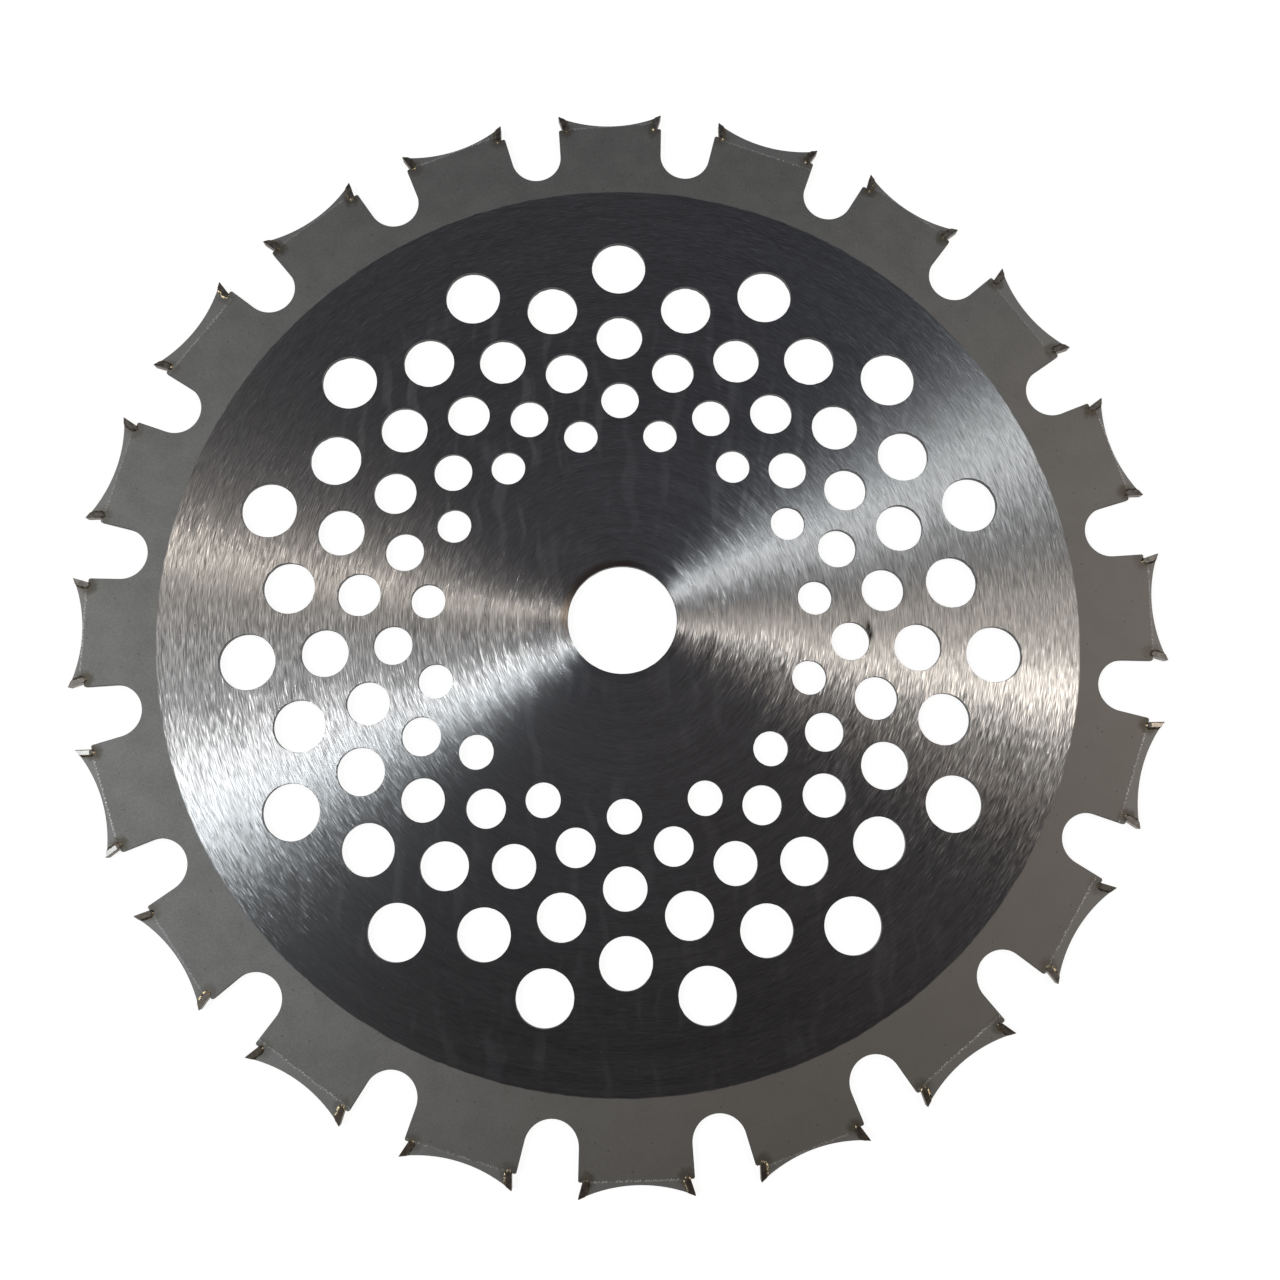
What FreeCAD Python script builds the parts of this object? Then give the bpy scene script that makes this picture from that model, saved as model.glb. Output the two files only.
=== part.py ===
import FreeCAD, Part
import math
import os

# Brush cutter blade: a flat steel plate with a central bore, six rings of round holes and
# twenty lands round the rim, with a brazed carbide tip at each end of each land.
# The origin is on the bore's axis at half the plate's thickness. +Z runs along the bore.
# The blade lies flat. It is reversible, so both faces and both ends of a land are alike.
# All sizes are in millimetres and all angles in degrees.

# Overall sizes
tip_circle_d = 255.0
bore_d = 25.4
plate_thickness = 1.4

# Lands: the part of the rim between two gullets
land_count = 20
first_land_angle = 90.83
tip_half_angle = 5.77
land_hollow_radius = 33.2

# Gullets: the round-ended slots between the lands
gullet_end_radius = 6.0
gullet_end_centre = 117.45
gullet_flare = 6.5

# Shoulder: the ledge in front of the foot of each tip
shoulder_height = 123.35
shoulder_bevel = 0.3

# Carbide tips: a bar that leans out over the gullet, wider than the plate is thick
tip_thickness = 1.3
tip_length = 4.1
tip_width = 2.2
tip_hook = 17.5
tip_side_relief = 1.3
tip_foot_bevel = 0.45

# Holes: each ring has the same count, and every second ring is turned by half a pitch
holes_per_ring = 15
first_hole_angle = 90.0
outer_hole_d = 13.0
hole_d_step = 1.0
hole_ring_radii = (86.8, 77.7, 69.0, 61.4, 53.3, 45.3)

# Sizes worked out from the ones above
tip_circle_r = tip_circle_d / 2
half_pitch = 180.0 / land_count
hook_sin = math.sin(math.radians(tip_hook))
hook_cos = math.cos(math.radians(tip_hook))
tip_edge_x = tip_circle_r * math.sin(math.radians(tip_half_angle))
tip_edge_y = tip_circle_r * math.cos(math.radians(tip_half_angle))
hollow_centre_y = tip_edge_y + math.sqrt(land_hollow_radius ** 2 - tip_edge_x ** 2)

origin = FreeCAD.Vector(0, 0, 0)
up = FreeCAD.Vector(0, 0, 1)


def at(x, y):
    """A point of a flat outline."""
    return FreeCAD.Vector(x, y, 0)


def turned(point, angle):
    """The point turned about the bore's axis, anticlockwise seen from above."""
    c = math.cos(math.radians(angle))
    s = math.sin(math.radians(angle))
    return at(point.x * c - point.y * s, point.x * s + point.y * c)


def mirrored(point):
    """The same point at the land's other end."""
    return at(-point.x, point.y)


def lines(points):
    """Straight edges from each point to the next."""
    return [Part.LineSegment(a, b).toShape() for a, b in zip(points, points[1:])]


def bevel(before, corner, after, size):
    """The two points that replace a sharp corner, each so far along its own side."""
    return [corner + (side - corner).normalize() * size for side in (before, after)]


# A land lies in its own frame: y runs out along its middle, and x to its right.
# A tip is laid out from its cutting edge: down its rake face, and in towards the land.

def tip_point(down, inward):
    """A point of the right-hand tip in the land's frame."""
    x = tip_edge_x - down * hook_sin - inward * hook_cos
    y = tip_edge_y - down * hook_cos + inward * hook_sin
    return at(x, y)


def tip_back_top():
    """Where the tip's back face comes out in the land's hollow."""
    foot = tip_point(0, tip_thickness)
    x = foot.x
    y = foot.y - hollow_centre_y
    # The back face's line, foot - s * (sin, cos), meets the hollow's circle at this s.
    b = x * hook_sin + y * hook_cos
    c = x * x + y * y - land_hollow_radius ** 2
    s = b + math.sqrt(b * b - c)
    return tip_point(s, tip_thickness)


def flank_point(along):
    """A point of the gullet's left flank in the gullet's frame, so far up from its round end."""
    flare_sin = math.sin(math.radians(gullet_flare))
    flare_cos = math.cos(math.radians(gullet_flare))
    x = gullet_end_radius * flare_cos + along * flare_sin
    y = gullet_end_centre - gullet_end_radius * flare_sin + along * flare_cos
    return at(-x, y)


# Corners of the tip at the land's right end, in the land's frame
edge = tip_point(0, 0)
back_top = tip_back_top()
rake_corner = tip_point(tip_length, 0)
back_corner = tip_point(tip_length, tip_thickness)
foot = bevel(edge, rake_corner, back_corner, tip_foot_bevel)
foot += bevel(rake_corner, back_corner, back_top, tip_foot_bevel)

# The gullet's flank runs up to the ledge, which runs in to the tip's rake face
flank_start = turned(flank_point(0), -half_pitch)
flank_end = turned(flank_point(gullet_end_radius), -half_pitch)
flank_share = (shoulder_height - flank_start.y) / (flank_end.y - flank_start.y)
shoulder_corner = flank_start + (flank_end - flank_start) * flank_share
shoulder = bevel(flank_start, shoulder_corner, foot[0], shoulder_bevel)
land_end = [flank_start] + shoulder + foot + [back_top]

gullet_bottom = turned(at(0, gullet_end_centre - gullet_end_radius), -half_pitch)
hollow_bottom = at(0, hollow_centre_y - land_hollow_radius)


def land_edges():
    """One land's share of the outline: its two ends, its hollow and the gullet on its right."""
    left_end = [mirrored(point) for point in land_end]
    last_flank_start = turned(mirrored(flank_start), -2 * half_pitch)
    edges = lines(land_end) + lines(left_end)
    edges.append(Part.Arc(back_top, hollow_bottom, mirrored(back_top)).toShape())
    edges.append(Part.Arc(last_flank_start, gullet_bottom, flank_start).toShape())
    return edges


def land_angle(index):
    """How far a land's frame is turned from +Y."""
    return first_land_angle - 90.0 - index * 2 * half_pitch


def outline_wire():
    """The plate's toothed outline, one land repeated round the rim."""
    edges = []
    for index in range(land_count):
        for land_edge in land_edges():
            land_edge.rotate(origin, up, land_angle(index))
            edges.append(land_edge)
    return Part.Wire(Part.__sortEdges__(edges))


def hole_wires():
    """The bore and the six rings of lightening holes."""
    wires = [Part.Wire(Part.makeCircle(bore_d / 2))]
    pitch = 360.0 / holes_per_ring
    for ring, ring_radius in enumerate(hole_ring_radii):
        hole_r = (outer_hole_d - ring * hole_d_step) / 2
        ring_start = first_hole_angle - 90.0 + (ring % 2) * pitch / 2
        for index in range(holes_per_ring):
            centre = turned(at(0, ring_radius), ring_start + index * pitch)
            wires.append(Part.Wire(Part.makeCircle(hole_r, centre)))
    return wires


def blade_body():
    """The plate: one flat profile with all its holes, carried through the thickness."""
    profile = Part.makeFace([outline_wire()] + hole_wires(), "Part::FaceMakerBullseye")
    profile.translate(up * -plate_thickness / 2)
    return profile.extrude(up * plate_thickness)


def tip_outline(place):
    """A tip seen from above: its top shares the land's hollow, and its foot fills the seat."""
    top_x = (edge.x + back_top.x) / 2
    top_middle = at(top_x, hollow_centre_y - math.sqrt(land_hollow_radius ** 2 - top_x ** 2))
    top = Part.Arc(place(edge), place(top_middle), place(back_top)).toShape()
    sides = lines([place(point) for point in [edge] + foot + [back_top]])
    return Part.Wire(Part.__sortEdges__([top] + sides))


def tip_relief(place):
    """The wedge that a tip keeps within: widest at the cutting edge and narrower at the foot."""
    above_edge = -tip_thickness
    below_foot = tip_length + tip_thickness
    slope = math.tan(math.radians(tip_side_relief))
    corners = []
    for down, side in ((above_edge, 1), (below_foot, 1), (below_foot, -1), (above_edge, -1)):
        half_width = tip_width / 2 - down * slope
        corners.append(place(tip_point(down, -tip_thickness)) + up * side * half_width)
    across = place(tip_point(0, 2 * tip_thickness)) - place(tip_point(0, -tip_thickness))
    return Part.Face(Part.makePolygon(corners + corners[:1])).extrude(across)


def carbide_tip(place, angle):
    """One tip: its outline carried across the full width, then relieved on both sides."""
    profile = Part.Face(tip_outline(place))
    profile.translate(up * -tip_width)
    bar = profile.extrude(up * 2 * tip_width)
    tip = bar.common(tip_relief(place)).Solids[0]
    tip.rotate(origin, up, angle)
    return tip


os.makedirs("parts", exist_ok=True)

blade_body().exportStep("parts/blade_body.step")

for number in range(1, land_count + 1):
    turn = land_angle(number - 1)
    carbide_tip(mirrored, turn).exportStep("parts/carbide_tip_%02d_left.step" % number)
    carbide_tip(lambda point: point, turn).exportStep("parts/carbide_tip_%02d_right.step" % number)
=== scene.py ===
import math

import bmesh
import bpy
import numpy as np
from mathutils import Matrix, Vector
from mathutils.geometry import delaunay_2d_cdt


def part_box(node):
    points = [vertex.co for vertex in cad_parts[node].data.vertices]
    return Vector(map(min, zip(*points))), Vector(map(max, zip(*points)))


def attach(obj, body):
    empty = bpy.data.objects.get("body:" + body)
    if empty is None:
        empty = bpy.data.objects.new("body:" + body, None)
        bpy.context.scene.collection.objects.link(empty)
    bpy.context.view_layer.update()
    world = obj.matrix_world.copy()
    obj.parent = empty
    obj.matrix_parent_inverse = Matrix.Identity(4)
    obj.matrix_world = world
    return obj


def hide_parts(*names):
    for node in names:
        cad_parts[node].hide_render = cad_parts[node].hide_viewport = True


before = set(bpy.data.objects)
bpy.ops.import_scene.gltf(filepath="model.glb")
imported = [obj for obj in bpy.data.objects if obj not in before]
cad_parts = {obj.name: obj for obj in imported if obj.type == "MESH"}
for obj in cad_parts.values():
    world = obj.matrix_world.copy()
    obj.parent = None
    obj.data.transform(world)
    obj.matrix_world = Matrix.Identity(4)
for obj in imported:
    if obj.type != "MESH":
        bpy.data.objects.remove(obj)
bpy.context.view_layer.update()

# The looks of a brush cutter blade: the ground plate with its softened edges, the forty carbide
# tips and the braze round their feet. Shapes are in metres, finishes in millimetres and all
# angles in degrees. A land's own frame has y running out along its middle and x to its right.

MM = 0.001


def sin_cos(degrees):
    """An angle's sine and cosine."""
    return math.sin(math.radians(degrees)), math.cos(math.radians(degrees))


# The plate and its holes
PLATE_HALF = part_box("blade_body")[1].z
BORE_R = 12.7 * MM
HOLES_PER_RING = 15
OUTER_HOLE_D = 13.0 * MM
HOLE_D_STEP = 1.0 * MM
HOLE_RING_RADII = [r * MM for r in (86.8, 77.7, 69.0, 61.4, 53.3, 45.3)]
EDGE_BREAK = 0.09 * MM

# The rim: lands, gullets, shoulders and tips
LAND_COUNT = 20
LAND_STEP = 360.0 / LAND_COUNT
FIRST_LAND_TURN = 0.83
TIP_CIRCLE_R = 127.5 * MM
TIP_HALF_ANGLE = 5.77
HOLLOW_R = 33.2 * MM
GULLET_R = 6.0 * MM
GULLET_CENTRE = 117.45 * MM
GULLET_FLARE = 6.5
SHOULDER_HEIGHT = 123.35 * MM
SHOULDER_BEVEL = 0.3 * MM
TIP_THICKNESS = 1.3 * MM
TIP_LENGTH = 4.1 * MM
TIP_HALF_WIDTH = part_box("carbide_tip_01_left")[1].z
TIP_HOOK = 17.5
TIP_SIDE_RELIEF = 1.3
TIP_FOOT_BEVEL = 0.45 * MM

# Worked out from the sizes above
HOOK_SIN, HOOK_COS = sin_cos(TIP_HOOK)
FLARE_SIN, FLARE_COS = sin_cos(GULLET_FLARE)
TIP_EDGE = TIP_CIRCLE_R * np.array(sin_cos(TIP_HALF_ANGLE))
HOLLOW_CENTRE = np.array([0.0, TIP_EDGE[1] + math.sqrt(HOLLOW_R ** 2 - TIP_EDGE[0] ** 2)])

# The tips' wear: how far a cutting corner is blunted, how wide the edges are broken, and how deep the
# rim is nibbled where a normal draw goes past a value
TIP_BLUNT = (0.16 * MM, 0.38 * MM)
TIP_EDGE_BREAK = 0.05 * MM
NIBBLE_PAST = 1.2
NIBBLE_DEPTH = 0.03 * MM

# The braze fillet: its least width and height and what its swell adds, in millimetres, the swell's range,
# the number of points that it is evened out over, and how deep the fillet is sunk
BRAZE_WIDTH = (0.16, 0.42)
BRAZE_HEIGHT = (0.08, 0.22)
BRAZE_SWELL = (0.4, 1.0)
SWELL_POINTS = 5
BRAZE_SUNK = 0.03 * MM
CHANCE_SEED = 20

# How finely it is all drawn: points to a circle, an arc or a worn corner, steps along a tip's outline and a
# braze seam, what is merged, and the angle past which an edge stays sharp
BORE_POINTS = 144
HOLE_POINTS = 64
HOLLOW_POINTS = 17
GULLET_POINTS = 25
TIP_TOP_POINTS = 5
CORNER_POINTS = 4
CLEAR_OF_CORNER = 1.4
TIP_STEP = 0.22 * MM
SEAM_STEP = 0.2 * MM
MERGE_WITHIN = 0.002 * MM
SLIVER_UNDER = 0.0005 * MM
FILL_TOLERANCE = 1e-7
PLATE_SHARP = 22.0
BRAZE_SHARP = 60.0

# The edge between the ground finish and the matte rim: its radius, and how it waves round the disc,
# as waves to a turn, height and start
FINISH_EDGE_R = 106.71
FINISH_EDGE_WAVES = ((1, 0.197, 159.5), (2, 0.325, 42.8), (3, 0.275, 121.0))

# A BAND is the two values between which something fades in; all places and distances of the finishes are
# in millimetres.

# The ground finish: its colours, the cool and warm ones being painted cool and warm light, and the direction
# of its marks away from the bore and near it, as a share of a turn
STEEL_IN_COOL_LIGHT = (0.985, 0.99, 1.0, 1.0)
STEEL_IN_WARM_LIGHT = (1.0, 0.96, 0.93, 1.0)
HEAT_TINT = (0.27, 0.17, 0.095, 1.0)
MARK_TURNS = (0.25, 0.2405)
SWIRL_BAND = (58.0, 30.0)
HEAT_BAND = (15.2, 13.2)
SHADE_AT_BORE_BAND = (15.0, 13.2)
SHADE_BELOW_BAND = (60.0, 95.0)

# Its streaks: their length along the rings, their width across them, and where their noise starts
FINE_MARKS = (2.6, 0.18, 3.0)
LONG_MARKS = (6.0, 0.40, 11.0)
RING_MARKS = (40.0, 1.8, 23.0)
HAIRLINES = (2.5, 0.16, 51.0)
# The last streaks are painted glints, made lighter to the left and right of the bore, where highlights fall
PAINTED_GLINT_LINES = (3.2, 0.20, 71.0)

# What lies on it: the places where most drips are, the smudge beside one hole, and the specks, one to each
# square, of about one radius, with the start of their pattern
LEFT_DRIPS = (-32.0, 42.0)
LEFT_DRIPS_BAND = (44.0, 20.0)
RIGHT_DRIPS = (24.0, 46.0)
RIGHT_DRIPS_BAND = (32.0, 14.0)
OTHER_DRIPS = (0.0, -13.0)
OTHER_DRIPS_BAND = (98.0, 90.0)
SMUDGE = (57.2, -3.6)
SMUDGE_BAND = (1.8, 0.4)
SPECKS = (13.0, 0.22, 3.0)

# The matte rim: its colours, the warm one being painted warm light, how many waves to a metre its patterns
# have, where the line scraped by the wheel runs, and where the stain lies at a foot
MATTE_DARK = (0.262, 0.262, 0.257, 1.0)
MATTE_PALE = (0.346, 0.345, 0.337, 1.0)
MATTE_IN_WARM_LIGHT = (0.305, 0.277, 0.250, 1.0)
STAIN_TINT = (0.13, 0.112, 0.078, 1.0)
SPECKLE_WAVES = 2500.0
CLOUD_WAVES = 150.0
STAIN_WAVES = 900.0
SCRAPE_OUT = 123.1
SCRAPE_BAND = (-0.22, -0.04)
SCRAPE_END_BAND = (0.26, 0.06)
STAIN_PLACE = (10.9, 123.2)
STAIN_BAND = (2.7, 1.0)
RIM_SPECKS = (9.0, 0.25, 11.0)

# Where each random value of a land or a foot starts
LINE_HEIGHT_SEED = 0.5
LINE_SLANT_SEED = 40.5
SCRAPE_SEED = 80.5
STAIN_SEED = 120.5
BRASS_DOT_SEED = 7.5

# Carbide and braze: their colours, the two facet colours being painted highlights, where a ground facet
# begins and ends, the noise that bares the brass, and where the dot of bare brass lies at a foot
CARBIDE = ((0.125, 0.112, 0.100, 1.0), (0.235, 0.212, 0.190, 1.0))
PALE_CARBIDE = ((0.20, 0.185, 0.170, 1.0), (0.34, 0.315, 0.290, 1.0))
CARBIDE_IN_SHADE = (0.115, 0.085, 0.062, 1.0)
FACET_HIGHLIGHT = (1.0, 0.99, 0.96, 1.0)
WARM_FACET_HIGHLIGHT = (0.37, 0.335, 0.31, 1.0)
FLUX_DARK = (0.05, 0.040, 0.030, 1.0)
FLUX_PALE = (0.17, 0.14, 0.095, 1.0)
BRASS = (0.70, 0.58, 0.38, 1.0)
FACET_INWARD = ((0.16, 0.30), (1.22, 1.08))
FACET_DOWN = ((0.15, 0.5), (3.35, 3.0))
BURNT_BAND = (0.66, 0.72)
BARE_BAND = (0.50, 0.56)
BRASS_DOT_PLACE = (10.72, 122.98)
BRASS_DOT_BAND = (0.48, 0.32)
GRAIN_DEPTH = 0.03 * MM
BRAZE_BUMPS = 0.10 * MM

# Tips that look different from the others: paler ones, ones whose ground facet has a painted highlight, and
# feet where the braze shows
PALE_TIPS = ("01_right", "06_left", "06_right", "07_right", "08_right", "14_left", "16_left", "16_right")
HIGHLIT_FACET_TIPS = ("15_left", "15_right")
WARM_HIGHLIT_TIP = "07_left"
BARE_FEET = ("08_right", "09_right", "10_right", "11_left", "12_left", "13_left", "14_left", "18_right")

# The camera, as the photo was taken
CAMERA_LENS = 33.86
CAMERA_OFFSET = Vector((4.09, -4.76, 279.6)) * MM
CAMERA_TURN = (8.90, -1.06, -0.57)

# The soft boxes round the blade: name, azimuth, elevation, angle covered, brightness and colour
LIGHT_DISTANCE = 0.9
LIGHT_HEIGHT = 0.3
LIGHT_STRIPS = (
    ("left_bright", 186.0, 52.0, 8.0, 11.2, (1.0, 1.0, 1.0)),
    ("left_cool", 194.0, 52.0, 8.0, 8.2, (0.93, 1.0, 1.04)),
    ("left_dim", 172.0, 52.0, 8.0, 2.7, (1.0, 1.0, 1.0)),
    ("left_low", 161.2, 30.0, 2.0, 27.0, (1.0, 0.92, 0.82)),
    ("left_low_dim", 170.0, 30.0, 5.0, 1.9, (1.0, 0.95, 0.88)),
    ("right_bright", 3.8, 52.0, 3.0, 17.0, (1.0, 0.99, 0.97)),
    ("right_low", 0.2, 30.0, 2.0, 30.0, (1.0, 0.88, 0.74)),
    ("right_dim", 15.0, 52.0, 5.0, 5.0, (1.0, 0.91, 0.80)),
    ("right_cool", 36.0, 52.0, 8.0, 4.3, (0.97, 1.0, 1.0)),
    ("right_near", -10.0, 52.0, 5.0, 1.6, (1.0, 0.90, 0.80)),
)

# The room: the light from overhead and from the left, the light round the horizon and the heights between
# which it fades in, and the two sides' own colours
OVERHEAD_LIGHT = (0.051, 0.048, 0.047)
LEFTWARD_LIGHT = (0.064, 0.078, 0.082)
HORIZON_LIGHT = 0.28
HORIZON_BAND = (0.66, 0.10)
NEAR_SIDE = (0.006, 0.003, 0.0, 1.0)
FAR_SIDE = (0.010, 0.0155, 0.034, 1.0)

# The floor: how far it runs, its own grey, and the white that it shows beside the blade and away from it
FLOOR_REACH = 4.0
FLOOR_GREY = 0.3
FLOOR_WHITE = 0.9
FLOOR_FAR_BAND = (250.0, 900.0)


# Flat outlines

def turned(points, degrees):
    """Each point turned about the origin: (x c - y s, x s + y c)."""
    s, c = sin_cos(degrees)
    x, y = points[..., 0], points[..., 1]
    return np.stack([x * c - y * s, x * s + y * c], -1)


def arc(centre, radius, start, end, count):
    """Points evenly spaced on a circle between two angles, without ends: centre + radius (cos a, sin a)."""
    a = np.linspace(start, end, count + 2)[1:-1]
    return np.asarray(centre) + radius * np.stack([np.cos(a), np.sin(a)], -1)


def angle_of(point, centre):
    """The direction from a centre to a point, in radians."""
    return math.atan2(point[1] - centre[1], point[0] - centre[0])


def mirrored(points):
    """The same points at the land's other end."""
    return points * np.array([-1.0, 1.0])


def beveled(before, corner, after, size):
    """The two points that replace a corner, each so far along its own side."""
    sides = [side - corner for side in (before, after)]
    return [corner + side / np.linalg.norm(side) * size for side in sides]


def tip_point(down, inward):
    """A point of the right-hand tip: so far down its rake face from the cutting edge, and so far in."""
    return TIP_EDGE + np.array([-down * HOOK_SIN - inward * HOOK_COS, -down * HOOK_COS + inward * HOOK_SIN])


def flank_point(along):
    """A point of the flank on the land's right, so far up from the gullet's round end."""
    x = -(GULLET_R * FLARE_COS + along * FLARE_SIN)
    y = GULLET_CENTRE - GULLET_R * FLARE_SIN + along * FLARE_COS
    return turned(np.array([x, y]), -LAND_STEP / 2)


def back_top():
    """Where the tip's back face meets the hollow: the back face's line cut with the hollow's circle."""
    start = tip_point(0, TIP_THICKNESS) - HOLLOW_CENTRE
    b = start[0] * HOOK_SIN + start[1] * HOOK_COS
    return tip_point(b + math.sqrt(b * b - start @ start + HOLLOW_R ** 2), TIP_THICKNESS)


def tip_foot():
    """The tip's foot, from the end of its rake face to the start of its back face."""
    rake, back = tip_point(TIP_LENGTH, 0), tip_point(TIP_LENGTH, TIP_THICKNESS)
    return beveled(TIP_EDGE, rake, back, TIP_FOOT_BEVEL) + beveled(rake, back, back_top(), TIP_FOOT_BEVEL)


def land_end():
    """The plate's outline at the land's right end, from the gullet up to the hollow."""
    foot = tip_foot()
    start, end = flank_point(0), flank_point(GULLET_R)
    corner = start + (end - start) * (SHOULDER_HEIGHT - start[1]) / (end[1] - start[1])
    return np.array([start] + beveled(start, corner, foot[0], SHOULDER_BEVEL) + foot + [back_top()])


def land_turn(land):
    """How far a land's frame is turned from +Y."""
    return FIRST_LAND_TURN - LAND_STEP * land


def plate_outline():
    """One land's ends and hollow and the gullet on its right, repeated round the rim, anticlockwise."""
    right = land_end()
    left = mirrored(right)
    hollow_end = angle_of(right[-1], HOLLOW_CENTRE)
    hollow = arc(HOLLOW_CENTRE, HOLLOW_R, -math.pi - hollow_end, hollow_end, HOLLOW_POINTS)
    gullet_centre = turned(np.array([0.0, GULLET_CENTRE]), -LAND_STEP / 2)
    first = angle_of(right[0], gullet_centre) % (2 * math.pi)
    last = angle_of(turned(left[0], -LAND_STEP), gullet_centre) + 2 * math.pi
    gullet = arc(gullet_centre, GULLET_R, first, last, GULLET_POINTS)
    land = np.concatenate([left, hollow, right[::-1], gullet])
    return np.concatenate([turned(land, land_turn(index)) for index in range(LAND_COUNT)])[::-1]


def circle(centre, radius, count):
    """A round hole's outline, clockwise: the steel lies on its left."""
    a = -2 * math.pi * np.arange(count) / count
    return np.asarray(centre) + radius * np.stack([np.cos(a), np.sin(a)], -1)


def holes():
    """Centre and radius of the bore and of the holes. Every second ring is turned by half a pitch."""
    found = [(np.zeros(2), BORE_R)]
    pitch = 360.0 / HOLES_PER_RING
    for ring, ring_radius in enumerate(HOLE_RING_RADII):
        radius = (OUTER_HOLE_D - ring * HOLE_D_STEP) / 2
        for index in range(HOLES_PER_RING):
            angle = (index + (ring % 2) / 2) * pitch
            found.append((turned(np.array([0.0, ring_radius]), angle), radius))
    return found


def inset(loop, distance):
    """A closed outline moved to its left: each corner p goes along both sides' normals m and n, by
    d (m + n) / (1 + m.n)."""
    side = np.roll(loop, -1, 0) - loop
    side /= np.linalg.norm(side, axis=1)[:, None]
    n = np.stack([-side[:, 1], side[:, 0]], -1)
    m = np.roll(n, 1, 0)
    return loop + distance * (m + n) / (1 + (m * n).sum(1))[:, None]


def inset_by(loop, distances):
    """A closed outline whose corners each move to its left by their own small distance."""
    along = np.roll(loop, -1, 0) - np.roll(loop, 1, 0)
    along /= np.linalg.norm(along, axis=1)[:, None]
    return loop + np.stack([-along[:, 1], along[:, 0]], -1) * distances[:, None]


def divided(loop, step):
    """A closed outline with points added along its longer sides, about one step apart."""
    parts = []
    for start, end in zip(loop, np.roll(loop, -1, 0)):
        count = max(1, int(round(np.linalg.norm(end - start) / step)))
        parts.append(start + (end - start) * np.linspace(0, 1, count, endpoint=False)[:, None])
    return np.concatenate(parts)


def rounded(before, corner, after, size):
    """A corner c worn round: from a on one side to b on the other, each so far from it, by
    (1-t)^2 a + 2t(1-t) c + t^2 b."""
    a, b = beveled(before, corner, after, size)
    t_values = np.linspace(0, 1, CORNER_POINTS)
    return [(1 - t) ** 2 * a + 2 * t * (1 - t) * corner + t ** 2 * b for t in t_values]


# Surfaces

def raised(points, height):
    """Flat points at one height."""
    return np.concatenate([points, np.full(points.shape[:-1] + (1,), height)], -1)


def grid_faces(rows, columns, start=0):
    """The quads of a grid that is closed along its columns, as indices into rows of points."""
    row, column = np.meshgrid(np.arange(rows - 1), np.arange(columns), indexing="ij")
    ahead = (column + 1) % columns
    here, above = row * columns, (row + 1) * columns
    quads = [here + column, above + column, above + ahead, here + ahead]
    return np.stack(quads, -1).reshape(-1, 4) + start


def added(name, data):
    """A new object in the scene."""
    made = bpy.data.objects.new(name, data)
    bpy.context.scene.collection.objects.link(made)
    return made


def make_piece(name, points, faces, materials, face_material=None, sharp=PLATE_SHARP):
    """A mesh object from arrays of points and faces, its doubles merged and its sharp edges kept."""
    mesh = bpy.data.meshes.new(name)
    mesh.from_pydata(np.asarray(points).tolist(), [], [list(map(int, face)) for face in faces])
    for material in materials:
        mesh.materials.append(material)
    if face_material is not None:
        mesh.polygons.foreach_set("material_index", np.asarray(face_material, np.int32))
    work = bmesh.new()
    work.from_mesh(mesh)
    bmesh.ops.remove_doubles(work, verts=work.verts, dist=MERGE_WITHIN)
    bmesh.ops.dissolve_degenerate(work, dist=SLIVER_UNDER, edges=work.edges)
    bmesh.ops.recalc_face_normals(work, faces=work.faces)
    work.to_mesh(mesh)
    work.free()
    mesh.shade_smooth()
    mesh.set_sharp_from_angle(angle=math.radians(sharp))
    return added(name, mesh)


def plate_walls(loops):
    """The plate's walls: one profile carried along every outline, (inset, height) = edge break, wall and
    edge break."""
    profile = (
        (EDGE_BREAK, PLATE_HALF),
        (0, PLATE_HALF - EDGE_BREAK),
        (0, EDGE_BREAK - PLATE_HALF),
        (EDGE_BREAK, -PLATE_HALF),
    )
    points, faces, count = [], [], 0
    for loop in loops:
        points.append(np.concatenate([raised(inset(loop, into), height) for into, height in profile]))
        faces.append(grid_faces(len(profile), len(loop), count))
        count += len(points[-1])
    return np.concatenate(points), np.concatenate(faces)


def plate_face(loops):
    """One face of the plate: the flat region between the inset outlines, in triangles, holes left out."""
    borders = [inset(loop, EDGE_BREAK) for loop in loops]
    edges, start = [], 0
    for border in borders:
        own = np.arange(len(border))
        edges.append(np.stack([own, np.roll(own, -1)], -1) + start)
        start += len(border)
    edges = np.concatenate(edges).tolist()
    flat = [Vector(point) for point in np.concatenate(borders) / MM]
    inside_only = 1
    filled = delaunay_2d_cdt(flat, edges, [], inside_only, FILL_TOLERANCE)
    corners = np.array([tuple(point) for point in filled[0]]) * MM
    triangles = np.array([list(face) for face in filled[2]])
    middles = corners[triangles].mean(1)
    steel = np.ones(len(middles), bool)
    for centre, radius in holes():
        steel &= np.linalg.norm(middles - centre, axis=1) > radius
    return corners, triangles[steel]


def plate_surface():
    """The plate: its walls along the rim, the bore and the holes, and its face twice, the lower one turned
    over. The walls are of the second material."""
    loops = [plate_outline()]
    for centre, radius in holes():
        loops.append(circle(centre, radius, BORE_POINTS if radius == BORE_R else HOLE_POINTS))
    walls, wall_faces = plate_walls(loops)
    corners, triangles = plate_face(loops)
    top = triangles + len(walls)
    bottom = triangles[:, ::-1] + len(walls) + len(corners)
    points = np.concatenate([walls, raised(corners, PLATE_HALF), raised(corners, -PLATE_HALF)])
    faces = wall_faces.tolist() + top.tolist() + bottom.tolist()
    face_material = np.concatenate([np.ones(len(wall_faces)), np.zeros(len(top) + len(bottom))])
    return points, faces, face_material


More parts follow.
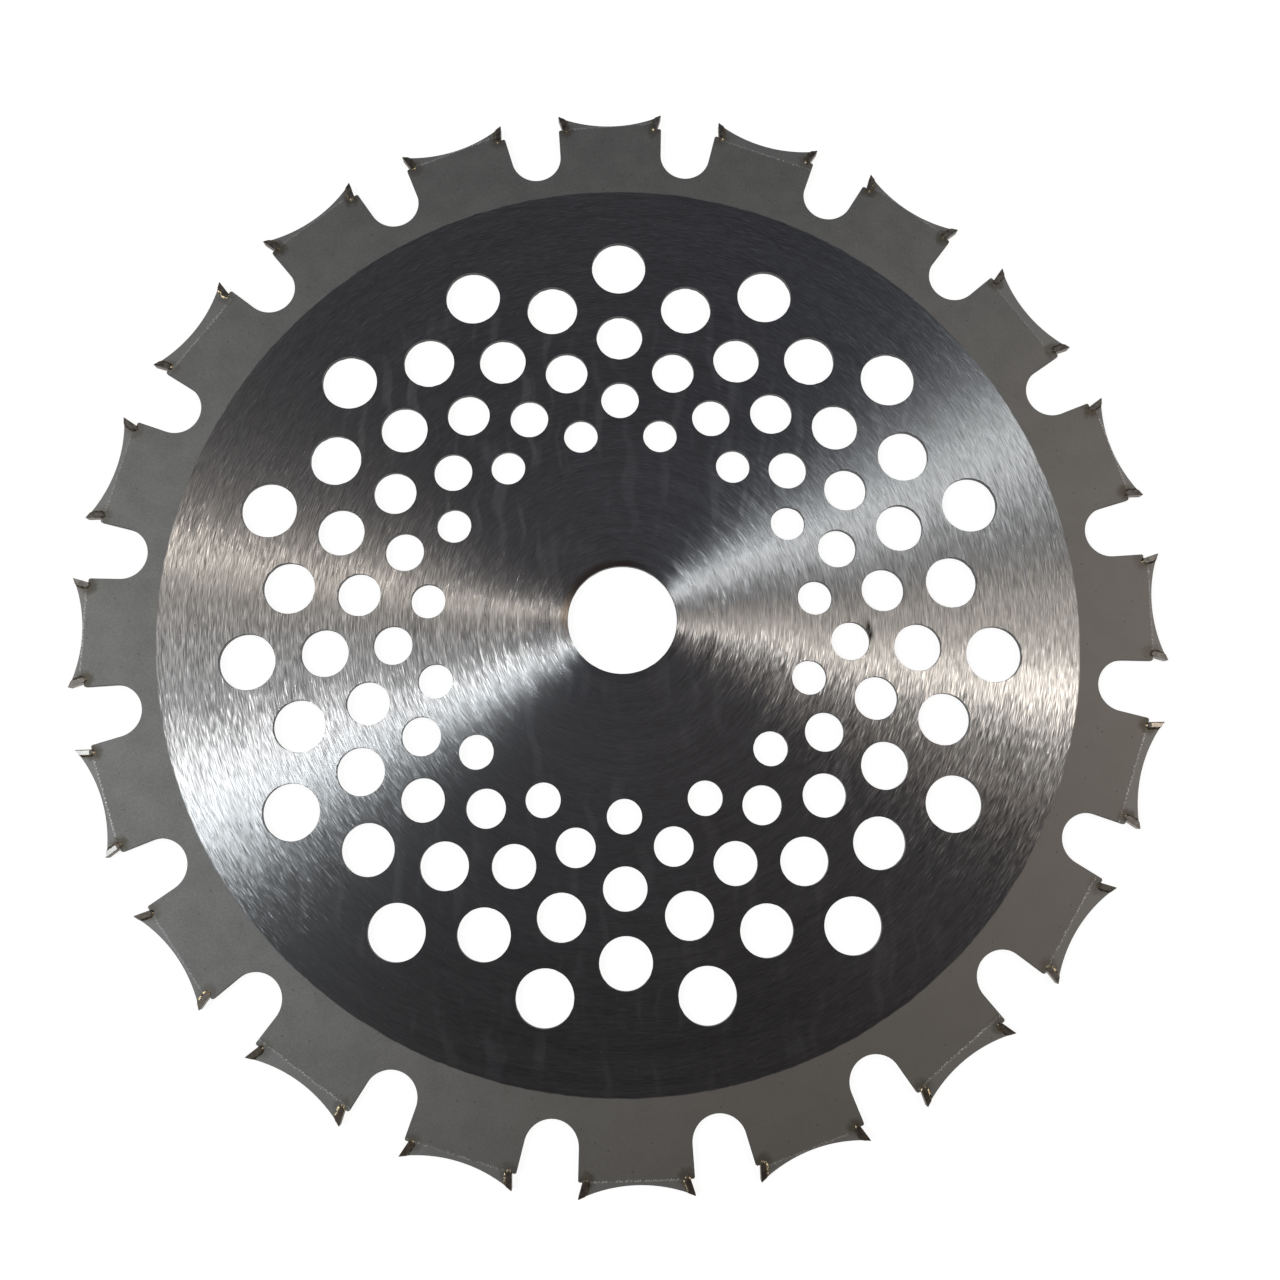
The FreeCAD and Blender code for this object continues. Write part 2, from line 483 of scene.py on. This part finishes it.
def tip_outline(blunt):
    """The right-hand tip seen from above, anticlockwise: the hollow, the back, the foot, the rake face and
    the worn cutting corner, which swallows the hollow's points that lie close to it."""
    back = back_top()
    start, end = angle_of(back, HOLLOW_CENTRE), angle_of(TIP_EDGE, HOLLOW_CENTRE)
    top = arc(HOLLOW_CENTRE, HOLLOW_R, start, end, TIP_TOP_POINTS)
    top = [point for point in top if np.linalg.norm(point - TIP_EDGE) > CLEAR_OF_CORNER * blunt]
    foot = tip_foot()
    return np.array(rounded(top[-1], TIP_EDGE, foot[0], blunt) + foot + [back] + top)[::-1]


def tip_half_width(points):
    """Half the tip's width at flat points: it narrows down from the cutting edge, w - d tan(relief)."""
    down = (points - TIP_EDGE) @ np.array([-HOOK_SIN, -HOOK_COS])
    return TIP_HALF_WIDTH - np.maximum(down, 0.0) * math.tan(math.radians(TIP_SIDE_RELIEF))


def placed(points, end, turn):
    """Points of the right-hand end set at one end of a land and turned to its place on the rim."""
    flat = points[..., :2] * np.array([end, 1.0])
    return np.concatenate([turned(flat, turn), points[..., 2:]], -1)


def tip_surface(chance):
    """A tip: its outline carried across its width, (inset, drop, side) = edge break, flank and edge break,
    with both sides closed to a point in the middle. Its rim is nibbled here and there by a few hundredths
    of a millimetre."""
    outline = divided(tip_outline(chance.uniform(*TIP_BLUNT)), TIP_STEP)
    nibble = np.clip(chance.normal(0.0, 1.0, len(outline)) - NIBBLE_PAST, 0.0, 1.0) * NIBBLE_DEPTH
    outline = inset_by(outline, nibble)
    profile = (
        (TIP_EDGE_BREAK, 0.0, 1),
        (0.0, TIP_EDGE_BREAK, 1),
        (0.0, TIP_EDGE_BREAK, -1),
        (TIP_EDGE_BREAK, 0.0, -1),
    )
    rows = []
    for into, drop, side in profile:
        ring = inset(outline, into)
        height = (tip_half_width(ring) - drop) * side
        rows.append(np.concatenate([ring, height[:, None]], -1))
    middle = outline.mean(0)
    pole = np.concatenate([middle, tip_half_width(middle[None])])
    rows = [np.tile(pole, (len(outline), 1))] + rows + [np.tile(pole * [1, 1, -1], (len(outline), 1))]
    return np.concatenate(rows), grid_faces(len(rows), len(outline))


def braze_surface(chance, side):
    """The braze along a tip's foot and back on one face: an uneven fillet carried along the seam, tapered
    towards both ends. Its section, (share of width, share of height, lift), runs from the plate up a hollow
    curve to the tip's flank."""
    seam = np.array([back_top()] + tip_foot()[::-1])
    parts = []
    for a, b in zip(seam, seam[1:]):
        count = max(2, int(np.linalg.norm(b - a) / SEAM_STEP))
        parts.append(np.linspace(a, b, count, endpoint=False))
    path = np.concatenate(parts + [seam[-1:]])
    along = np.gradient(path, axis=0)
    along /= np.linalg.norm(along, axis=1)[:, None]
    away = np.stack([along[:, 1], -along[:, 0]], -1)
    away *= np.sign(away[0] @ np.array([-1.0, -0.2]))
    t = np.linspace(0, 1, len(path))
    swell = chance.uniform(*BRAZE_SWELL, len(path) + SWELL_POINTS - 1)
    swell = np.convolve(swell, np.ones(SWELL_POINTS) / SWELL_POINTS, "valid")
    taper = np.minimum(1.0, 6 * np.minimum(t + 0.04, 1.04 - t))
    width = (BRAZE_WIDTH[0] + BRAZE_WIDTH[1] * swell) * taper * MM
    height = (BRAZE_HEIGHT[0] + BRAZE_HEIGHT[1] * swell) * taper * MM
    section = (
        (1, 0, -BRAZE_SUNK),
        (1, 0, 0.2 * BRAZE_SUNK),
        (0.45, 0.3, 0.0),
        (0.12, 0.75, 0.0),
        (0, 1, 0.0),
        (0, 0, -BRAZE_SUNK),
    )
    rows = []
    for out, up, lift in section:
        flat = path + away * (width * out - (BRAZE_SUNK if out == 0 else 0.0))[:, None]
        rows.append(np.concatenate([flat, (side * (PLATE_HALF + height * up + lift))[:, None]], -1))
    rows = np.stack(rows, 1)
    ends = [np.tile(rows[index].mean(0), (len(section), 1))[None] for index in (0, -1)]
    rows = np.concatenate([ends[0], rows, ends[1]])
    return rows.reshape(-1, 3), grid_faces(len(rows), len(section))


# Shader formulas

class Field:
    """A shader socket that can stand in a formula. Each operator adds one Math node."""

    def __init__(self, tree, socket=None):
        self.tree = tree
        self.socket = socket

    def node(self, kind, settings=None, inputs=None, output=0):
        """Adds a node: its settings are set first, and then the values or links of its sockets."""
        made = self.tree.nodes.new("ShaderNode" + kind)
        for name, value in (settings or {}).items():
            setattr(made, name, value)
        for name, value in (inputs or {}).items():
            if isinstance(value, Field):
                self.tree.links.new(value.socket, made.inputs[name])
            else:
                made.inputs[name].default_value = value
        return Field(self.tree, made.outputs[output])

    def math(self, operation, *values):
        """A Math node on these values."""
        return self.node("Math", {"operation": operation}, dict(enumerate(values)))

    def __add__(self, other):
        return self.math("ADD", self, other)

    def __radd__(self, other):
        return self.math("ADD", other, self)

    def __sub__(self, other):
        return self.math("SUBTRACT", self, other)

    def __rsub__(self, other):
        return self.math("SUBTRACT", other, self)

    def __mul__(self, other):
        return self.math("MULTIPLY", self, other)

    def __rmul__(self, other):
        return self.math("MULTIPLY", other, self)

    def __truediv__(self, other):
        return self.math("DIVIDE", self, other)

    def __pow__(self, other):
        return self.math("POWER", self, other)

    def step(self, low, high):
        """0 below low and 1 above high, smooth between; the other way round where low is above high."""
        if low > high:
            return 1 - self.step(high, low)
        settings = {"interpolation_type": "SMOOTHSTEP"}
        return self.node("MapRange", settings, {"Value": self, "From Min": low, "From Max": high})

    def within(self, rise, fall):
        """1 between a rise and a fall, each given as the two values that it runs between."""
        return self.step(*rise) * self.step(*fall)


def vector(f, x, y, z):
    """A vector from three values."""
    return f.node("CombineXYZ", None, {0: x, 1: y, 2: z})


def split(f, v):
    """A vector's three values."""
    return [f.node("SeparateXYZ", None, {0: v}, output) for output in range(3)]


def leaned(f, normal, sideways):
    """A normal leaned by a vector and brought back to its length."""
    sum_of_both = f.node("VectorMath", {"operation": "ADD"}, {0: normal, 1: sideways})
    return f.node("VectorMath", {"operation": "NORMALIZE"}, {0: sum_of_both})


def noise(f, place, scale, detail):
    """Noise of about 0 to 1 at a place."""
    return f.node("TexNoise", None, {"Vector": place, "Scale": scale, "Detail": detail, "Roughness": 0.5})


def blend(f, share, a, b):
    """The colour a where share is 0 and b where it is 1."""
    return f.node("Mix", {"data_type": "RGBA"}, {0: share, 6: a, 7: b}, 2)


def grey(v):
    """A plain grey."""
    return (v, v, v, 1.0)


def start_material(name):
    """An empty material and a field to write its formulas with."""
    material = bpy.data.materials.new(name)
    material.use_nodes = True
    material.node_tree.nodes.clear()
    return material, Field(material.node_tree)


def finish_material(f, shader):
    """Links a shader to the material's output."""
    output = f.tree.nodes.new("ShaderNodeOutputMaterial")
    f.tree.links.new(shader.socket, output.inputs[0])


class DiscCoordinates:
    """Places on the blade, in millimetres from the bore's axis: x, y, z, r and the direction (cos, sin)."""

    def __init__(self, f):
        self.f = f
        self.point = f.node("TexCoord", None, None, "Object")
        self.x, self.y, self.z = [part * (1 / MM) for part in split(f, self.point)]
        self.r = (self.x * self.x + self.y * self.y) ** 0.5
        self.cos = self.x / self.r
        self.sin = self.y / self.r
        self.turn = f.math("ARCTAN2", self.y, self.x)

    def streaks(self, length, width, seed, detail=1.0):
        """Noise of about -0.5 to 0.5 along circles: n(x / length, y / length, r / width + seed) - 0.5."""
        place = vector(self.f, self.x * (1 / length), self.y * (1 / length), self.r * (1 / width) + seed)
        return noise(self.f, place, 1.0, detail) - 0.5

    def distance_to(self, x, y):
        """How far a place is from a point of the blade."""
        across, up = self.x - x, self.y - y
        return (across * across + up * up) ** 0.5

    def on_seen_face(self):
        """1 on the face that the photo shows and 0 on the other."""
        return self.z.step(-0.2, 0.2)

    def on_land(self):
        """The nearest land's number, and the place in its frame: how far to its right, and how far out."""
        step = math.radians(LAND_STEP)
        past = self.turn + (2 * math.pi + step / 2 - math.radians(90.0 + FIRST_LAND_TURN))
        number = self.f.math("FLOOR", past / step)
        local = past - number * step - step / 2
        across = self.r * self.f.math("SINE", local) * -1.0
        out = self.r * self.f.math("COSINE", local)
        return self.f.math("MODULO", number, LAND_COUNT), across, out


def distance_in_land(f, across, out, place):
    """How far a place in a land's frame is from one point, taken at whichever end of the land is nearer."""
    beside, above = f.math("ABSOLUTE", across) - place[0], out - place[1]
    return (beside * beside + above * above) ** 0.5


def one_of(f, number, seed):
    """A random value of 0 to 1 that belongs to a number."""
    return f.node("TexWhiteNoise", {"noise_dimensions": "1D"}, {"W": number + seed})


def dots(f, disc, size, radius, seed):
    """1 in small dots of about one radius, one to each square of one size, in millimetres."""
    place = vector(f, disc.x * (1 / size) + seed, disc.y * (1 / size), 0.0)
    apart = f.node("TexVoronoi", {"voronoi_dimensions": "2D"}, {"Vector": place, "Scale": 1.0})
    return apart.step(radius / size, 0.5 * radius / size)


# Finishes

def drips_below_holes(f, disc):
    """Faint drips on the seen face: upright stripes that wander, strongest at two places, weaker in a
    cloudy pattern elsewhere, and none straight to the left and right of the bore."""
    wander = noise(f, vector(f, disc.x * 0.06, disc.y * 0.10, 4.0), 1.0, 1.0) * 1.6
    stripes = noise(f, vector(f, disc.x * 0.30 + wander, disc.y * 0.045, 7.0), 1.0, 1.5).step(0.50, 0.68)
    cloud = noise(f, vector(f, disc.x * 0.045, disc.y * 0.045, 15.0), 1.0, 2.0)
    left = disc.distance_to(*LEFT_DRIPS).step(*LEFT_DRIPS_BAND)
    right = disc.distance_to(*RIGHT_DRIPS).step(*RIGHT_DRIPS_BAND)
    elsewhere = cloud.step(0.38, 0.56) * disc.distance_to(*OTHER_DRIPS).step(*OTHER_DRIPS_BAND)
    share = f.math("MAXIMUM", f.math("MAXIMUM", left, right * 0.6), elsewhere * 0.4)
    return stripes * share * (disc.sin * disc.sin).step(0.10, 0.4) * disc.on_seen_face()


def smudge_at_hole(disc):
    """The dark smudge on the seen face: an oval twice as tall as wide, (x^2 + y^2 / 4)^0.5."""
    beside, above = disc.x - SMUDGE[0], disc.y - SMUDGE[1]
    oval = (beside * beside + above * above * 0.25) ** 0.5
    return oval.step(*SMUDGE_BAND) * disc.on_seen_face()


def ground_finish(f, disc):
    """Steel ground in rings from the bore out, its marks swirled near the bore. Its streaks tilt the
    surface along the rings, lean it across them and change its tone, and painted highlight streaks make it
    lighter to the left and right of the bore. Its colour has painted warm light towards the lower right and
    upper left. The bore's edge is tinted by heat, and there are drips, a smudge and a few specks."""
    near = disc.r.step(*SWIRL_BAND)
    fine = disc.streaks(*FINE_MARKS)
    long = disc.streaks(*LONG_MARKS)
    rings = disc.streaks(*RING_MARKS, detail=2.0)
    hairs = disc.streaks(*HAIRLINES)
    painted_glint_streaks = disc.streaks(*PAINTED_GLINT_LINES)

    tilt = fine * (0.15 - near * 0.05) + fine * fine * fine * 0.6
    tilt = tilt + long * 0.04 + rings * (near * 0.09 + 0.03)
    lean = hairs * 0.78 + fine * 0.24
    sideways = vector(f, disc.cos * lean - disc.sin * tilt, disc.sin * lean + disc.cos * tilt, 0.0)
    normal = leaned(f, f.node("NewGeometry", None, None, "Normal"), sideways)

    drips = drips_below_holes(f, disc)
    highlight_sides = disc.cos * disc.cos
    shade_at_bore = disc.r.step(*SHADE_AT_BORE_BAND)
    shade_below = (disc.sin * -1.0).step(0.7, 1.0) * disc.r.step(*SHADE_BELOW_BAND)
    # Painted highlight: glint streaks lighten the tone to the left and right of the bore
    tone = 0.52 + fine * 0.36 + long * 0.14 + rings * 0.18 + painted_glint_streaks * highlight_sides * highlight_sides * 0.95
    tone = tone + drips * 0.30 + dots(f, disc, *SPECKS) * 0.3 + near * 0.09
    tone = tone - shade_at_bore * 0.06 - shade_below * 0.12 - smudge_at_hole(disc) * 0.42
    # Painted warm light: the colour turns warm towards the lower right and upper left, and cool between
    painted_warm_light = (disc.cos - disc.sin) * math.sqrt(0.5)
    colour = blend(f, tone, grey(0.0), blend(f, painted_warm_light * painted_warm_light, STEEL_IN_COOL_LIGHT, STEEL_IN_WARM_LIGHT))
    heat = (disc.sin * 0.79 - disc.cos * 0.62).step(0.15, 0.75) * disc.r.step(*HEAT_BAND)
    colour = blend(f, heat * 0.6, colour, HEAT_TINT)

    gloss = 0.332 + rings * 0.06 + drips * 0.05 + heat * 0.1 - near * 0.048
    steel = {"Base Color": colour, "Metallic": 1.0, "Roughness": gloss, "Normal": normal, "Anisotropic": 1.0}
    round_marks, swirled_marks = [
        f.node("BsdfPrincipled", None, {**steel, "Anisotropic Rotation": turn}) for turn in MARK_TURNS]
    return f.node("MixShader", None, {0: near, 1: round_marks, 2: swirled_marks})


def blasted_finish(f, disc):
    """The matte rim. Its outermost band is touched by the wheel that ground the tips, and ends in a jagged
    scraped line at its own height on each land. The steel round each foot is stained by the brazing. Its
    colour has painted warm light towards the lower right."""
    number, across, out = disc.on_land()
    speckle = noise(f, disc.point, SPECKLE_WAVES, 2.0)
    cloud = noise(f, disc.point, CLOUD_WAVES, 3.0)
    share = speckle.step(0.3, 0.7) * 0.6 + cloud.step(0.3, 0.7) * 0.4
    colour = blend(f, share, MATTE_DARK, MATTE_PALE)
    # Painted warm light: the rim turns warm towards the lower right
    painted_warm_light = (disc.cos * 0.8 - disc.sin * 0.6).step(-0.2, 1.0)
    colour = blend(f, painted_warm_light * 0.7, colour, MATTE_IN_WARM_LIGHT)

    jag = noise(f, vector(f, across * 2.6, number * 9.0, out * 0.25), 1.0, 3.0)
    height = (one_of(f, number, LINE_HEIGHT_SEED) - 0.5) * 2.2
    slant = (one_of(f, number, LINE_SLANT_SEED) - 0.5) * 0.14
    past = out - SCRAPE_OUT - (height + across * slant) - (jag - 0.5) * 1.3
    band = past.step(-0.05, 0.15)
    ticks = noise(f, vector(f, across * 5.0, number * 7.0, out * 0.8), 1.0, 2.0).step(0.45, 0.6)
    scrape = past.within(SCRAPE_BAND, SCRAPE_END_BAND) * ticks
    scrape = scrape * (0.35 + 0.65 * one_of(f, number, SCRAPE_SEED))
    colour = blend(f, band * 0.3, colour, grey(0.46))
    colour = blend(f, scrape, colour, grey(1.0))

    ragged = (noise(f, disc.point, STAIN_WAVES, 2.0) - 0.5) * 2.2
    stain = (distance_in_land(f, across, out, STAIN_PLACE) + ragged).step(*STAIN_BAND)
    colour = blend(f, stain * (0.35 + 0.4 * one_of(f, number, STAIN_SEED)), colour, STAIN_TINT)
    colour = blend(f, dots(f, disc, *RIM_SPECKS) * 0.6, colour, grey(0.12))
    return f.node("BsdfPrincipled", None, {"Base Color": colour, "Metallic": 1.0, "Roughness": 0.62})


def ground_and_blasted_steel():
    """The plate's faces: ground in rings from the bore out to the finish edge, and matte outside it."""
    material, f = start_material("ground_and_blasted_steel")
    disc = DiscCoordinates(f)
    ground = ground_finish(f, disc)
    matte = blasted_finish(f, disc)
    border = disc.r - FINISH_EDGE_R
    for waves, height, start in FINISH_EDGE_WAVES:
        border = border - f.math("COSINE", disc.turn * waves + math.radians(start)) * height
    jog = noise(f, vector(f, disc.cos * 30.0, disc.sin * 30.0, 9.0), 1.0, 2.0)
    border = border - (jog - 0.5) * 0.55
    finish_material(f, f.node("MixShader", None, {0: border.step(-0.15, 0.20), 1: ground, 2: matte}))
    return material


def cut_edge_steel():
    """The walls of the holes and of the rim: darker, with fine marks straight through the plate."""
    material, f = start_material("cut_edge_steel")
    disc = DiscCoordinates(f)
    marks = noise(f, vector(f, disc.x, disc.y, disc.z * 0.1), 6.0, 3.0)
    colour = blend(f, marks.step(0.3, 0.7), grey(0.045), grey(0.11))
    inputs = {"Base Color": colour, "Metallic": 1.0, "Roughness": 0.5}
    finish_material(f, f.node("BsdfPrincipled", None, inputs))
    return material


def ground_carbide(name, dark, pale, highlight_colour=None):
    """A tip's carbide, clouded between two tones. With a highlight colour, the middle of its flank is a
    ground facet that leans outwards and is painted in that colour as a highlight, with darker margins."""
    material, f = start_material(name)
    disc = DiscCoordinates(f)
    number, across, out = disc.on_land()
    place = vector(f, disc.x, disc.y, disc.z)
    cloud = noise(f, place, 0.9, 3.0)
    grain = noise(f, place, 9.0, 2.0)
    x = f.math("ABSOLUTE", across) - TIP_EDGE[0] / MM
    y = out - TIP_EDGE[1] / MM
    inward = y * HOOK_SIN - x * HOOK_COS
    down = (x * HOOK_SIN + y * HOOK_COS) * -1.0
    highlit_facet = inward.within(*FACET_INWARD) * down.within(*FACET_DOWN) * (1.0 if highlight_colour else 0.0)
    colour = blend(f, cloud.step(0.35, 0.65), dark, pale)
    colour = blend(f, (disc.sin * -1.0).step(0.2, 0.9) * 0.6, colour, CARBIDE_IN_SHADE)
    # Painted highlight: the facet takes the bright highlight colour
    colour = blend(f, highlit_facet, colour, highlight_colour or dark)
    lean = highlit_facet * 0.30
    normal = f.node("Bump", None, {"Height": grain * (1 - highlit_facet), "Strength": 0.4, "Distance": GRAIN_DEPTH})
    normal = leaned(f, normal, vector(f, disc.cos * lean, disc.sin * lean, 0.0))
    gloss = 0.50 + (cloud - 0.5) * 0.2 - highlit_facet * 0.12
    inputs = {"Base Color": colour, "Metallic": 1.0, "Roughness": gloss, "Normal": normal}
    finish_material(f, f.node("BsdfPrincipled", None, inputs))
    return material


def brass_braze(name, low, high):
    """The braze: dark with burnt flux. Bright brass shows through where the noise rises from low to high,
    and as a dot under most feet."""
    material, f = start_material(name)
    disc = DiscCoordinates(f)
    number, across, out = disc.on_land()
    place = vector(f, disc.x, disc.y, disc.z)
    foot = number * 2 + f.math("GREATER_THAN", across, 0.0)
    dot = distance_in_land(f, across, out, BRASS_DOT_PLACE) + one_of(f, foot, BRASS_DOT_SEED) * 0.40
    brass = f.math("MAXIMUM", noise(f, place, 1.5, 3.0).step(low, high), dot.step(*BRASS_DOT_BAND))
    colour = blend(f, noise(f, place, 1.1, 2.0).step(0.35, 0.65), FLUX_DARK, FLUX_PALE)
    colour = blend(f, brass, colour, BRASS)
    bumps = noise(f, place, 4.0, 3.0)
    bump = f.node("Bump", None, {"Height": bumps, "Strength": 0.7, "Distance": BRAZE_BUMPS})
    metal, gloss = 0.5 + brass * 0.5, 0.6 - brass * 0.25
    inputs = {"Base Color": colour, "Metallic": metal, "Roughness": gloss, "Normal": bump}
    finish_material(f, f.node("BsdfPrincipled", None, inputs))
    return material


# Camera, lights and surroundings

def place_camera():
    """The camera where the photo was taken from, above the plate's visible face."""
    data = bpy.data.cameras.new("camera")
    data.lens = CAMERA_LENS
    camera = added("camera", data)
    tilt, pan, roll = (math.radians(a) for a in CAMERA_TURN)
    rotation = Matrix.Rotation(roll, 3, "Z") @ Matrix.Rotation(tilt, 3, "X") @ Matrix.Rotation(pan, 3, "Y")
    place = rotation @ CAMERA_OFFSET + Vector((0.0, 0.0, PLATE_HALF))
    camera.matrix_world = Matrix.Translation(place) @ rotation.to_4x4()
    bpy.context.scene.camera = camera


def soft_strip(name, azimuth, elevation, angle, radiance, colour):
    """A tall narrow soft box that faces the blade: its azimuth from +X, its elevation above the plate, and
    the angle that it covers round the blade."""
    (sin_a, cos_a), (sin_e, cos_e) = sin_cos(azimuth), sin_cos(elevation)
    data = bpy.data.lights.new(name, "AREA")
    data.shape = "RECTANGLE"
    data.size = LIGHT_DISTANCE * math.radians(angle) * cos_e
    data.size_y = LIGHT_HEIGHT
    data.energy = radiance * data.size * data.size_y * math.pi
    data.color = colour
    lamp = added(name, data)
    back = Vector((cos_a * cos_e, sin_a * cos_e, sin_e))
    facing = back.to_track_quat("Z", "Y").to_matrix().to_4x4()
    lamp.matrix_world = Matrix.Translation(back * LIGHT_DISTANCE) @ facing
    lamp.visible_camera = False


def background_share(f):
    """1 for the rays that see the white background: the camera's, and those of reflections and of glass."""
    rays = ("Is Camera Ray", "Is Glossy Ray", "Is Transmission Ray")
    camera, glossy, through = [f.node("LightPath", None, None, ray) for ray in rays]
    return f.math("MINIMUM", camera + glossy + through, 1.0)


def lay_floor():
    """A plain white floor under the tips, solid from above only. It shows white and keeps the blade's
    shadow. Far from the blade, where less light reaches it, its own white is fuller."""
    z = -TIP_HALF_WIDTH
    corners = [(x * FLOOR_REACH, y * FLOOR_REACH, z) for x, y in ((-1, -1), (1, -1), (1, 1), (-1, 1))]
    mesh = bpy.data.meshes.new("floor")
    mesh.from_pydata(corners, [], [(0, 1, 2, 3)])
    material, f = start_material("white_floor")
    far = DiscCoordinates(f).r.step(*FLOOR_FAR_BAND)
    shown = blend(f, background_share(f), grey(0.0), blend(f, far, grey(FLOOR_WHITE), grey(1.0)))
    diffuse = f.node("BsdfDiffuse", None, {"Color": grey(FLOOR_GREY)})
    white = f.node("Emission", None, {"Color": shown, "Strength": 1.0})
    above = f.node("AddShader", None, {0: diffuse, 1: white})
    below = f.node("BsdfTransparent", None, {"Color": grey(1.0)})
    under = f.node("NewGeometry", None, None, "Backfacing")
    finish_material(f, f.node("MixShader", None, {0: under, 1: above, 2: below}))
    mesh.materials.append(material)
    floor = added("floor", mesh)


def light_world():
    """A dim room, bluish on its far side, with a soft band of light round the horizon. It is a little
    brighter overhead and on the left, by the cube of how far a direction points there. The camera sees it
    white, and so do reflections at the horizon and below it."""
    world = bpy.data.worlds.new("room")
    bpy.context.scene.world = world
    world.use_nodes = True
    world.node_tree.nodes.clear()
    f = Field(world.node_tree)
    x, y, z = split(f, f.node("TexCoord", None, None, "Generated"))
    overhead = f.math("MAXIMUM", z * 0.985 + y * 0.17, 0.0) ** 3.0
    leftward = f.math("MAXIMUM", z * 0.33 - x * 0.94, 0.0) ** 3.0
    around = z.step(*HORIZON_BAND) * HORIZON_LIGHT
    lights = zip(OVERHEAD_LIGHT, LEFTWARD_LIGHT)
    dome = vector(f, *[overhead * above + leftward * left + around for above, left in lights])
    side = blend(f, y.step(-0.3, 0.6), NEAR_SIDE, FAR_SIDE)
    dome = f.node("VectorMath", {"operation": "ADD"}, {0: dome, 1: side})
    camera = f.node("LightPath", None, None, "Is Camera Ray")
    white = f.math("MAXIMUM", camera, background_share(f) * z.step(0.12, 0.02))
    background = f.node("Background", None, {"Color": blend(f, white, dome, grey(1.0)), "Strength": 1.0})
    output = world.node_tree.nodes.new("ShaderNodeOutputWorld")
    world.node_tree.links.new(background.socket, output.inputs[0])


def brazed_tips():
    """The forty tips and the braze round their feet, land by land."""
    dark = ground_carbide("dark_carbide", *CARBIDE)
    pale = ground_carbide("pale_carbide", *PALE_CARBIDE)
    # Tips with a painted highlight on a ground facet, one of them warm
    highlit_facet = ground_carbide("highlit_facet_carbide", *CARBIDE, FACET_HIGHLIGHT)
    painted_warm_light = ground_carbide("warm_highlit_carbide", *CARBIDE, WARM_FACET_HIGHLIGHT)
    carbides = {**dict.fromkeys(PALE_TIPS, pale), **dict.fromkeys(HIGHLIT_FACET_TIPS, highlit_facet), WARM_HIGHLIT_TIP: painted_warm_light}
    burnt = brass_braze("burnt_braze", *BURNT_BAND)
    bare = brass_braze("bare_braze", *BARE_BAND)
    chance = np.random.RandomState(CHANCE_SEED)
    for land in range(LAND_COUNT):
        turn = land_turn(land)
        for side_name, end in (("left", -1.0), ("right", 1.0)):
            place = "%02d_%s" % (land + 1, side_name)
            points, faces = tip_surface(chance)
            tip = make_piece("tip_" + place, placed(points, end, turn), faces, [carbides.get(place, dark)])
            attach(tip, "root")
            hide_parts("carbide_tip_" + place)
            upper, upper_faces = braze_surface(chance, 1.0)
            lower, lower_faces = braze_surface(chance, -1.0)
            points = placed(np.concatenate([upper, lower]), end, turn)
            faces = np.concatenate([upper_faces, lower_faces + len(upper)])
            braze = bare if place in BARE_FEET else burnt
            fillet = make_piece("braze_" + place, points, faces, [braze], sharp=BRAZE_SHARP)
            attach(fillet, "root")


ground = ground_and_blasted_steel()
cut_edge = cut_edge_steel()

points, faces, face_material = plate_surface()
plate = make_piece("plate", points, faces, [ground, cut_edge], face_material)
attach(plate, "root")
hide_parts("blade_body")

brazed_tips()
place_camera()
lay_floor()
light_world()
for strip in LIGHT_STRIPS:
    soft_strip(*strip)

scene = bpy.context.scene
scene.view_settings.view_transform = "Standard"
